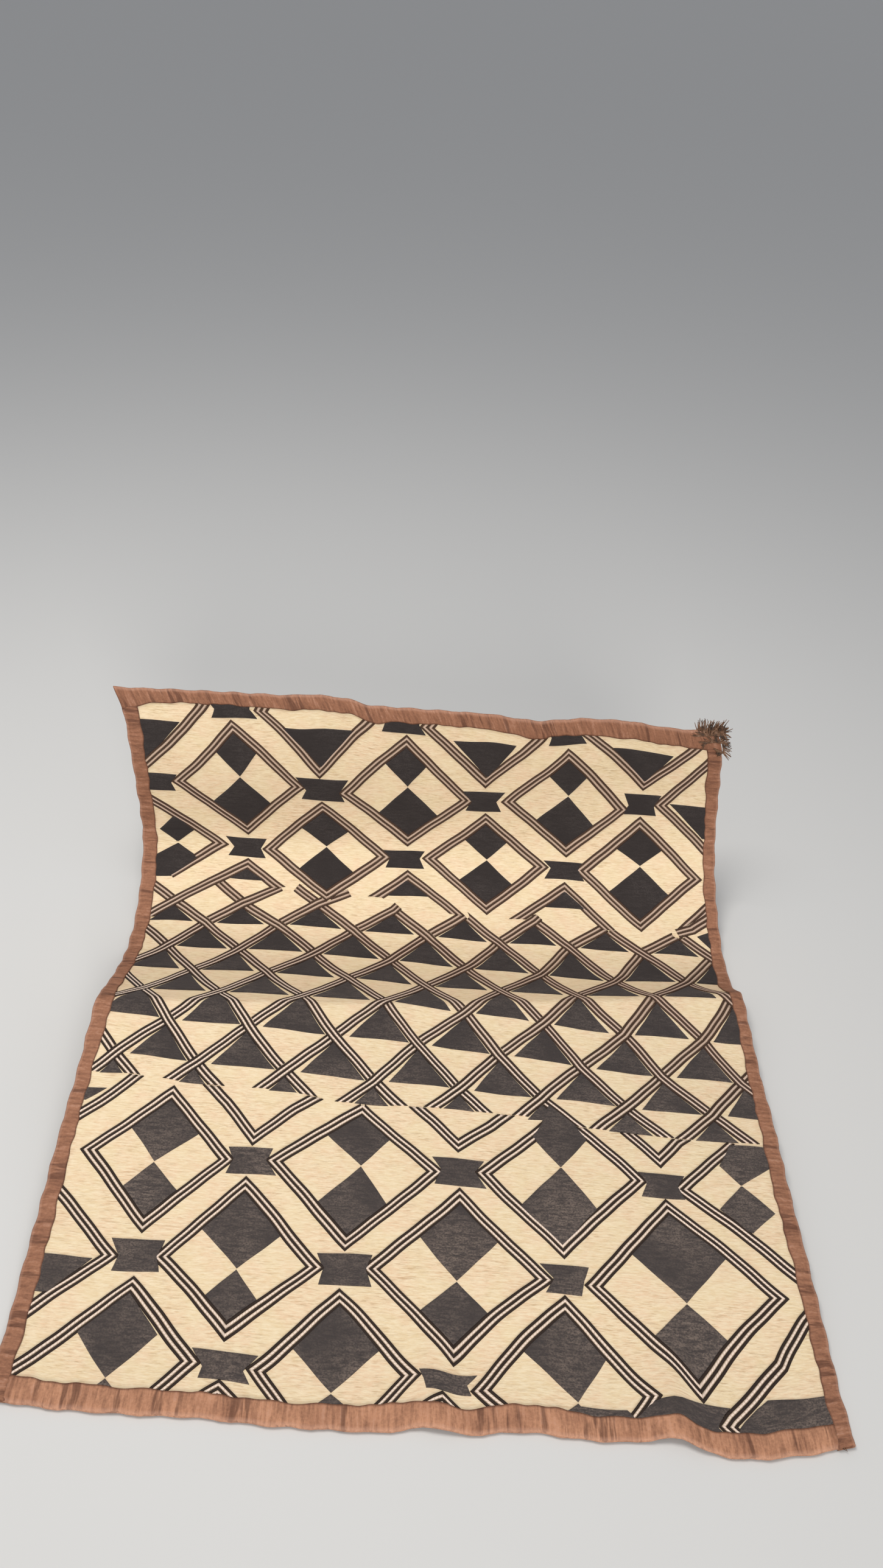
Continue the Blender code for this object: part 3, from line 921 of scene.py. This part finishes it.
def ground_rows():
    """How far along the cloth each row of the ground lies, as functions of the place across it."""
    near = END_STRIP_FOLD + GAP
    far_end = CLOTH_LENGTH - near
    rise = CREASE_MIDDLE - near
    rise_count = round(rise / GROUND_PITCH)
    crease_count = round(CREASE_SHARE * rise / CREASE_PITCH)
    fall_count = round((VALLEY_START - CREASE_MIDDLE) / FALL_PITCH)
    far_count = round((far_end - VALLEY_START) / GROUND_PITCH)
    shares = [
        *np.linspace(0, 1 - CREASE_SHARE, rise_count),
        *np.linspace(1 - CREASE_SHARE, 1, crease_count + 1)[1:],
    ]
    rows = [lambda u, s=s: near + (crease_at(u) - near) * s for s in shares]
    rows += [
        lambda u, s=s: crease_at(u) + (VALLEY_START - crease_at(u)) * s
        for s in np.linspace(0, 1, fall_count + 1)[1:]
    ]
    return rows + [lambda u, v=v: v for v in np.linspace(VALLEY_START, far_end, far_count + 1)[1:]]


def make_ground(material):
    """The woven and embroidered ground: one closed sheet."""
    bm = bmesh.new()
    rows = ground_rows()
    edge = SIDE_STRIP_FOLD + GAP
    column_count = round((CLOTH_WIDTH - 2 * edge) / GROUND_PITCH)
    columns_at = np.linspace(edge, CLOTH_WIDTH - edge, column_count + 1)

    def place(columns, row_numbers):
        u = columns_at[columns]
        v = np.array([rows[row](x) for row, x in zip(row_numbers, u)])
        return np.column_stack([u, v, np.full(len(u), PANEL_UNDERSIDE)])

    set_grid(bm, column_count, len(rows) - 1, place)
    upper = bmesh.ops.extrude_face_region(bm, geom=bm.faces[:])["geom"]
    for vert in (item for item in upper if isinstance(item, bmesh.types.BMVert)):
        vert.co.z = PANEL_TOP
    return add_piece("embroidered_ground", bm, material, "panel")


def strip_section():
    """The outside of a folded strip: share of its width in from the fold, rounding, and height."""
    turns = np.linspace(-pi / 2, pi / 2, 7)
    middle = STRIP_TOP / 2
    nose = [(FOLD_ROUNDING - FOLD_ROUNDING * cos(turn), middle + middle * sin(turn)) for turn in turns]
    flats = (0.25, 0.5, 0.75, 0.93, 1.0)
    under = [(share, None, 0.0) for share in reversed(flats)]
    over = [(share, None, STRIP_TOP) for share in flats]
    return under + [(0.0, across_nose, height) for across_nose, height in nose] + over


def uneven_wave(distance, wave, wander, wander_wave, seed):
    """A wave along a strip, its length in mm, whose crests come at uneven places."""
    return np.sin(distance / (wave * MM) + wander * np.sin(distance / (wander_wave * MM) + seed))


def make_strip(name, length, reach_table, seed, swell, to_cloth, node, material):
    """A strip of gathered raffia folded round one edge, from the start of that edge to its end."""
    bm = bmesh.new()
    stitch = bm.verts.layers.float_vector.new("stitch")
    section = strip_section()
    row_count = round((length[1] - length[0]) / STRIP_STEP)
    stations = np.linspace(length[0], length[1], row_count + 1)
    slow = uneven_wave(stations, 5.3, 2.1, 23, seed)
    quick = uneven_wave(stations, 1.9, 3, 9, 2 * seed)
    gathers = 0.5 + 0.3 * slow + 0.2 * quick
    reaches = read_waves(reach_table, stations) + INNER_WAVE * np.sin(stations / (6.1 * MM) + seed)
    reaches = reaches + INNER_NICK * uneven_wave(stations, 2.9, 2, 17, seed)
    fold_wave = OUTER_WAVE * np.sin(stations / (4.3 * MM) + seed) + OUTER_SWELL * (gathers - 0.5)

    def place(columns, rows):
        made = []
        for column, row in zip(columns, rows):
            share, nose, height = section[column]
            lift = 0.0
            if nose is None:
                nose = FOLD_ROUNDING + (reaches[row] - FOLD_ROUNDING) * share
                if height > 0:
                    lift = swell * gathers[row] * sin(pi * min(1, share * 0.9 + 0.1)) ** 0.7
            inwards = nose - fold_wave[row] * (1 - share)
            made.append((*to_cloth(inwards, stations[row]), height + lift))
        return np.array(made)

    for number, vert in enumerate(set_grid(bm, len(section) - 1, row_count, place)):
        row, column = divmod(number, len(section))
        share, nose, height = section[column]
        vert[stitch] = (stations[row], share if nose is None else 0.0, height)
    bm.normal_update()
    lowest = min(bm.faces, key=lambda face: face.calc_center_median().z)
    if lowest.normal.z > 0:
        bmesh.ops.reverse_faces(bm, faces=bm.faces)
        bm.normal_update()
    bmesh.ops.solidify(bm, geom=bm.faces[:], thickness=STRIP_LAYER)
    return add_piece(name, bm, material, node)


def make_strips(material):
    """The four strips: the sides run over the near one's ends, the far one over theirs."""
    side_length = (0.0, CLOTH_LENGTH - SIDE_STRIP_END)
    near_length = (NEAR_STRIP_END, CLOTH_WIDTH - NEAR_STRIP_END)
    return [
        make_strip(
            "strip_left", side_length, LEFT_STRIP_REACH, seed=0.7, swell=0.35 * MM,
            to_cloth=lambda inwards, along: (inwards, along),
            node="binding_left", material=material),
        make_strip(
            "strip_right", side_length, RIGHT_STRIP_REACH, seed=2.9, swell=0.35 * MM,
            to_cloth=lambda inwards, along: (CLOTH_WIDTH - inwards, along),
            node="binding_right", material=material),
        make_strip(
            "strip_near", near_length, NEAR_STRIP_REACH, seed=4.1, swell=0.55 * MM,
            to_cloth=lambda inwards, along: (along, inwards),
            node="binding_near", material=material),
        make_strip(
            "strip_far", (0.0, CLOTH_WIDTH), FAR_STRIP_REACH, seed=1.7, swell=0.8 * MM,
            to_cloth=lambda inwards, along: (along, CLOTH_LENGTH - inwards),
            node="binding_far", material=material),
    ]


# Loose ends


def add_strand(bm, root, direction, length, width, bend):
    """One loose raffia end: a flat, tapering strand that bends as it leaves its root."""
    sideways = Vector((-direction.y, direction.x, 0)).normalized()

    def place(columns, rows):
        made = []
        for column, row in zip(columns, rows):
            t = row / STRAND_STEPS
            taper = width * (1 - 0.65 * row / STRAND_STEPS)
            turn = tau * column / 4 + pi / 4
            away = sideways * (cos(turn) * taper / 2) + Vector((0, 0, 1)) * (sin(turn) * taper / 3)
            made.append(root + direction * (length * t) + sideways * (bend * t * t) + away)
        return np.array(made)

    set_grid(bm, 4, STRAND_STEPS, place)


def scattered(number, seed):
    """An uneven share between 0 and 1 for each number, the same at every run."""
    return (sin(number * 12.99 + seed * 78.23) * 43758.5) % 1


def make_corner_ends(material):
    """The knot at the far right corner, with its loose dark ends and the frayed weave round it."""
    bm = bmesh.new()
    bmesh.ops.create_icosphere(bm, subdivisions=3, radius=KNOT_RADIUS)
    for vert in bm.verts:
        uneven = sin(1900 * vert.co.x + 900 * vert.co.y) * cos(1700 * vert.co.z)
        vert.co *= 1 + KNOT_BUMPS * uneven
    offset = (KNOT_RADIUS + GAP) * cos(pi / 4)
    corner = Vector((CLOTH_WIDTH + offset, CLOTH_LENGTH + offset, STRIP_TOP / 2))
    bmesh.ops.translate(bm, vec=corner, verts=bm.verts)
    for group, row in enumerate(CORNER_ENDS):
        count, first, last, turn_first, turn_last, rise, shortest, longest = row
        for number in range(count):
            aside, swing, lift, reach, breadth, bend = (
                scattered(number, group + step) for step in (0.1, 0, 0.3, 0.5, 0.7, 0.9))
            share = (number + aside) / count
            turn = radians(turn_first + (turn_last - turn_first) * share) + 0.5 * swing - 0.25
            direction = Vector((cos(turn), sin(turn), rise * (2 * lift - 0.4))).normalized()
            root = Vector(first).lerp(Vector(last), share) * MM
            length = (shortest + (longest - shortest) * reach) * MM
            width = LOOSE_END_WIDTH * (0.7 + 0.6 * breadth)
            add_strand(bm, root, direction, length, width, 4 * MM * (bend - 0.5))
    close_tubes(bm)
    return add_piece("corner_ends", bm, material, "corner_tuft")


def make_near_ends(material):
    """The short thread ends at the two near corners."""
    bm = bmesh.new()
    for u, v, turn, length, width in NEAR_ENDS:
        root = Vector((u, v, NEAR_END_HEIGHT)) * MM
        direction = Vector((cos(turn), sin(turn), 0.05))
        add_strand(bm, root, direction, length * MM, width * MM, 2 * MM * sin(3 * turn))
    close_tubes(bm)
    return add_piece("near_ends", bm, material)


# Finishes


def new_material(name):
    """A new material and its node tree."""
    made = bpy.data.materials.new(name)
    made.use_nodes = True
    return made, made.node_tree


def feed(socket, value):
    """Gives a socket another node's output, or a constant."""
    if isinstance(value, bpy.types.NodeSocket):
        socket.id_data.links.new(value, socket)
    else:
        socket.default_value = value


def add_node(tree, kind, inputs, **settings):
    """A new node with its settings, and its inputs fed by name or number."""
    node = tree.nodes.new(kind)
    for name, value in settings.items():
        setattr(node, name, value)
    for name, value in inputs.items():
        feed(node.inputs[name], value)
    return node


def shade(tree, **values):
    """Feeds the shader's inputs, which are named with underscores for spaces."""
    for name, value in values.items():
        feed(tree.nodes["Principled BSDF"].inputs[name.replace("_", " ")], value)


def mixed(tree, share, first, second):
    """A colour that goes from the first to the second as share goes from 0 to 1."""
    inputs = {0: share, 6: first, 7: second}
    return add_node(tree, "ShaderNodeMix", inputs, data_type="RGBA").outputs[2]


def ranged(tree, value, low, high, to_low=0.0, to_high=1.0):
    """A value stretched from one range to another, and held inside it."""
    inputs = {"Value": value, "From Min": low, "From Max": high, "To Min": to_low, "To Max": to_high}
    return add_node(tree, "ShaderNodeMapRange", inputs).outputs["Result"]


def calculated(tree, operation, first, second=0.0):
    """One step of arithmetic on values that change over the surface."""
    return add_node(tree, "ShaderNodeMath", {0: first, 1: second}, operation=operation).outputs[0]


def noise(tree, place, **numbers):
    """A noise over the places, with its scale and the like."""
    inputs = {"Vector": place, **{name.title(): value for name, value in numbers.items()}}
    return add_node(tree, "ShaderNodeTexNoise", inputs).outputs["Fac"]


def bumped(tree, height, distance, strength=1.0):
    """A normal that follows a height."""
    inputs = {"Height": height, "Distance": distance, "Strength": strength}
    return add_node(tree, "ShaderNodeBump", inputs).outputs["Normal"]


def kept_place(tree, name="flat"):
    """A place that the piece keeps, as a vector and as its three parts."""
    place = add_node(tree, "ShaderNodeAttribute", {}, attribute_name=name).outputs["Vector"]
    return place, add_node(tree, "ShaderNodeSeparateXYZ", {0: place}).outputs


def fibre_group():
    """Fine fibres that run along the first axis: masks for colour and a height for bump."""
    group = bpy.data.node_groups.new("raffia fibres", "ShaderNodeTree")
    face = group.interface
    face.new_socket("Place", in_out="INPUT", socket_type="NodeSocketVector")
    for name in ("Along", "Across", "Blotch"):
        face.new_socket(name, in_out="INPUT", socket_type="NodeSocketFloat")
    for name in ("Streak", "Blotch", "Height"):
        face.new_socket(name, in_out="OUTPUT", socket_type="NodeSocketFloat")
    given = group.nodes.new("NodeGroupInput").outputs
    result = group.nodes.new("NodeGroupOutput").inputs
    scales = {0: given["Along"], 1: given["Across"], 2: given["Along"]}
    scales = add_node(group, "ShaderNodeCombineXYZ", scales).outputs[0]
    stretched = {0: given["Place"], 1: scales}
    stretched = add_node(group, "ShaderNodeVectorMath", stretched, operation="MULTIPLY").outputs[0]
    streak = noise(group, stretched, scale=1.0, detail=3.0, roughness=0.6)
    feed(result["Streak"], ranged(group, streak, 0.32, 0.68))
    feed(result["Blotch"], noise(group, given["Place"], scale=given["Blotch"], detail=2.0))
    feed(result["Height"], streak)
    return group


FIBRES = fibre_group()


def fibres(tree, place, along, across_them, blotch):
    """The fibre group's outputs at a place, with its own scales."""
    inputs = {"Place": place, "Along": along, "Across": across_them, "Blotch": blotch}
    node = tree.nodes.new("ShaderNodeGroup")
    node.node_tree = FIBRES
    for name, value in inputs.items():
        feed(node.inputs[name], value)
    return node.outputs


def ground_finish():
    """Straw raffia: flat stitches in rows on the face, plain weave on the back."""
    made, tree = new_material("straw raffia ground")
    place, parts = kept_place(tree)
    fine = fibres(tree, place, 170.0, 900.0, 45.0)
    tone = mixed(tree, ranged(tree, fine["Blotch"], 0.4, 0.62), STRAW, ROSY_STRAW)
    face = mixed(tree, calculated(tree, "MULTIPLY", fine["Streak"], 0.8), tone, PALE_STRAW)
    flecks = fibres(tree, place, 120.0, 1000.0, 22.0)
    worn = ranged(tree, flecks["Blotch"], 0.32, 0.62, 0.25, 1.0)
    fleck = calculated(tree, "MULTIPLY", ranged(tree, flecks["Streak"], 0.42, 0.0, 0.0, 0.6), worn)
    face = mixed(tree, fleck, face, FLECK_BROWN)
    bricks = {
        "Vector": place, "Scale": 1.0, "Brick Width": 2.2 * MM, "Row Height": 1.1 * MM,
        "Mortar Size": 0.16 * MM, "Color1": WHITE, "Color2": GREY, "Mortar": BLACK,
    }
    weave = add_node(tree, "ShaderNodeTexBrick", bricks, offset=0.5).outputs["Color"]
    back = mixed(tree, weave, WEAVE_DARK, WEAVE_TAN)
    middle = PANEL_UNDERSIDE + PANEL_THICKNESS * 0.6
    on_face = ranged(tree, parts[2], middle - 0.1 * MM, middle)
    height = mixed(tree, on_face, weave, fine["Height"])
    shade(
        tree, Base_Color=mixed(tree, on_face, back, face), Normal=bumped(tree, height, 0.3 * MM, 0.9),
        Roughness=0.78, Specular_IOR_Level=0.25)
    return made


def pile_finish():
    """Charcoal cut pile: soft, flecked with grey-brown, a little paler towards the near hem."""
    made, tree = new_material("charcoal cut pile")
    place, parts = kept_place(tree)
    fine = fibres(tree, place, 150.0, 620.0, 22.0)
    grain = fibres(tree, place, 700.0, 900.0, 60.0)
    nearness = ranged(tree, parts[1], 0.45, 0.15)
    base = mixed(tree, nearness, DEEP_CHARCOAL, CHARCOAL)
    pale = mixed(tree, nearness, CHARCOAL, PALE_CHARCOAL)
    worn = ranged(tree, fine["Blotch"], 0.36, 0.64, 0.2, 1.0)
    mottle = calculated(tree, "MULTIPLY", fine["Streak"], grain["Streak"])
    mottle = calculated(tree, "MULTIPLY", ranged(tree, mottle, 0.0, 0.55), worn)
    shade(
        tree, Base_Color=mixed(tree, mottle, base, pale),
        Normal=bumped(tree, grain["Height"], 0.6 * MM, 0.9), Roughness=0.95,
        Specular_IOR_Level=0.12, Sheen_Weight=0.2, Sheen_Roughness=0.6, Sheen_Tint=SHEEN_GREY)
    return made


def line_finish(name, near_colour, far_colour, gap_colour, stitch_length):
    """Stitched raffia: small beads of stitches along each line, duller at the far right."""
    made, tree = new_material(name)
    place, parts = kept_place(tree)
    _, stitches = kept_place(tree, "stitch")
    wander = calculated(tree, "MULTIPLY", noise(tree, place, scale=180.0), 3.0)
    along = calculated(tree, "MULTIPLY", stitches[0], tau / stitch_length / 2)
    along = calculated(tree, "ADD", along, wander)
    bead = calculated(tree, "ABSOLUTE", calculated(tree, "SINE", along))
    far_right = calculated(tree, "ADD", parts[1], calculated(tree, "MULTIPLY", parts[0], 0.35))
    tone = mixed(tree, ranged(tree, far_right, 0.36, 0.52), near_colour, far_colour)
    shade(
        tree, Base_Color=mixed(tree, ranged(tree, bead, 0.0, 0.45), gap_colour, tone),
        Normal=bumped(tree, bead, 0.2 * MM, 0.5), Roughness=0.75, Specular_IOR_Level=0.25)
    return made


def strip_finish():
    """Gathered terracotta raffia: fine ribs across, soft blotches, thin pleats with painted shade in
    their creases, painted shade towards the far end, a painted highlight along the fold and a darker seam
    that is partly painted shade.
    """
    made, tree = new_material("terracotta raffia")
    place, parts = kept_place(tree)
    stitch, along = kept_place(tree, "stitch")
    grain = fibres(tree, place, 520.0, 520.0, 55.0)
    ribs = fibres(tree, stitch, 400.0, 0.8, 30.0)["Streak"]
    pleats = fibres(tree, stitch, 130.0, 0.2, 20.0)["Streak"]
    off_middle = calculated(tree, "SUBTRACT", parts[0], CLOTH_WIDTH / 2)
    off_middle = calculated(tree, "ABSOLUTE", off_middle)
    side_start, side_full = CLOTH_WIDTH / 2 - 17 * MM, CLOTH_WIDTH / 2 - 14 * MM
    on_side = ranged(tree, off_middle, side_start, side_full, 0.0, 0.75)
    # painted shade: the strips turn darker towards the far end, where the cloth sweeps upright
    far_end_painted_shade = ranged(tree, parts[1], 0.45, 0.68, 0.0, 0.85)
    weave = calculated(tree, "ADD", ribs, calculated(tree, "MULTIPLY", grain["Streak"], 0.4))
    tone = PALE_TERRACOTTA
    for share, colour in (
        (on_side, TERRACOTTA),
        # painted shade towards the far end
        (far_end_painted_shade, TERRACOTTA),
        (ranged(tree, grain["Blotch"], 0.40, 0.66, 0.0, 0.5), TERRACOTTA),
        (ranged(tree, weave, 0.9, 0.1, 0.0, 0.55), DEEP_TERRACOTTA),
        (ranged(tree, weave, 0.9, 1.5, 0.0, 0.4), ROSY_TERRACOTTA),
        # painted shade: thin dark lines in the creases of the pleats
        (ranged(tree, pleats, 0.30, 0.12, 0.0, 0.65), DEEP_TERRACOTTA),
        # painted highlight: a rosy band along the fold of each strip
        (ranged(tree, along[1], 0.12, 0.0, 0.0, 0.25), ROSY_TERRACOTTA),
        # darker along the inner edge: partly dark stitching, partly painted shade at the strip's raised
        # edge
        (ranged(tree, along[1], 0.88, 0.97, 0.0, 0.6), DEEP_TERRACOTTA),
    ):
        tone = mixed(tree, share, tone, colour)
    height = calculated(tree, "ADD", weave, pleats)
    shade(
        tree, Base_Color=tone, Normal=bumped(tree, height, 0.35 * MM, 0.8),
        Roughness=0.75, Specular_IOR_Level=0.25)
    return made


def loose_finish():
    """Dark raffia ends, browner here and there."""
    made, tree = new_material("dark raffia ends")
    place, _ = kept_place(tree)
    tint = noise(tree, place, scale=220.0)
    tone = mixed(tree, ranged(tree, tint, 0.36, 0.52), LOOSE_DARK, LOOSE_BROWN)
    tone = mixed(tree, ranged(tree, tint, 0.54, 0.72), tone, LOOSE_PALE)
    shade(tree, Base_Color=tone, Normal=bumped(tree, tint, 0.2 * MM), Roughness=0.7)
    return made


# Floor, light and camera


def make_floor():
    """A plain pale floor that reaches past the picture."""
    bm = bmesh.new()
    bmesh.ops.create_grid(bm, x_segments=1, y_segments=1, size=FLOOR_REACH)
    mesh = bpy.data.meshes.new("floor")
    bm.to_mesh(mesh)
    bm.free()
    made, tree = new_material("pale floor")
    shade(tree, Base_Color=FLOOR_GREY, Roughness=0.85)
    mesh.materials.append(made)
    floor = bpy.data.objects.new("floor", mesh)
    floor.location.z = -FLOOR_DROP
    bpy.context.scene.collection.objects.link(floor)


def add_lamp(name, place, target, size, power):
    """A large soft lamp that faces a place on the cloth."""
    lamp = bpy.data.lights.new(name, "AREA")
    lamp.shape = "DISK"
    lamp.size = size
    lamp.energy = power
    lamp.color = LAMP_COLOUR
    made = bpy.data.objects.new(name, lamp)
    made.location = place
    made.rotation_euler = (Vector(target) - Vector(place)).to_track_quat("-Z", "Y").to_euler()
    bpy.context.scene.collection.objects.link(made)


def light_room():
    """Soft light from all round, with a wide lamp overhead and a far one low in front."""
    bpy.context.scene.view_settings.view_transform = "Standard"
    world = bpy.data.worlds.new("pale room")
    world.use_nodes = True
    sky = world.node_tree.nodes["Background"]
    sky.inputs["Color"].default_value = SKY_COLOUR
    sky.inputs["Strength"].default_value = SKY_STRENGTH
    bpy.context.scene.world = world
    for row in LAMPS:
        add_lamp(*row)


def place_camera():
    """The camera at the photo's viewing angle."""
    pitch, yaw, roll = radians(CAMERA_PITCH), radians(CAMERA_YAW), radians(CAMERA_ROLL)
    forward = Vector((sin(yaw) * cos(pitch), cos(yaw) * cos(pitch), -sin(pitch)))
    level = Vector((cos(yaw), -sin(yaw), 0))
    upright = level.cross(forward)
    right = cos(roll) * level + sin(roll) * upright
    up = -sin(roll) * level + cos(roll) * upright
    lens = bpy.data.cameras.new("camera")
    lens.lens = CAMERA_LENS
    lens.sensor_width = 36
    lens.sensor_fit = "AUTO"
    lens.clip_start, lens.clip_end = 0.01, 200
    camera = bpy.data.objects.new("camera", lens)
    turned = Matrix((right, up, -forward)).transposed().to_4x4()
    camera.matrix_world = Matrix.Translation(CAMERA_PLACE) @ turned
    bpy.context.scene.collection.objects.link(camera)
    bpy.context.scene.camera = camera


def hide_solids():
    """Takes the part's plain solids out of sight, because each one has its dressed piece."""
    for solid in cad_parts.values():
        solid.hide_render = True
        solid.hide_viewport = True


def main():
    """Makes the pieces and the room, and takes the solids out of sight."""
    ground = make_ground(ground_finish())
    dark = line_finish("dark stitched raffia", LINE_BLACK, LINE_BROWN, LINE_BLACK, 2.3 * MM)
    light = line_finish("light stitched raffia", LINE_WHITE, LINE_TAN, LINE_TAN, 2.9 * MM)
    lines = [
        make_lines("dark_lines", DARK_LINES, DARK_LINE_WIDTH, dark),
        make_lines("light_lines", LIGHT_LINES, LIGHT_LINE_WIDTH, light),
    ]
    pile = make_pile(pile_finish())
    strips = make_strips(strip_finish())
    loose = loose_finish()
    ends = [make_corner_ends(loose), make_near_ends(loose)]
    hide_solids()
    make_floor()
    light_room()
    place_camera()


main()
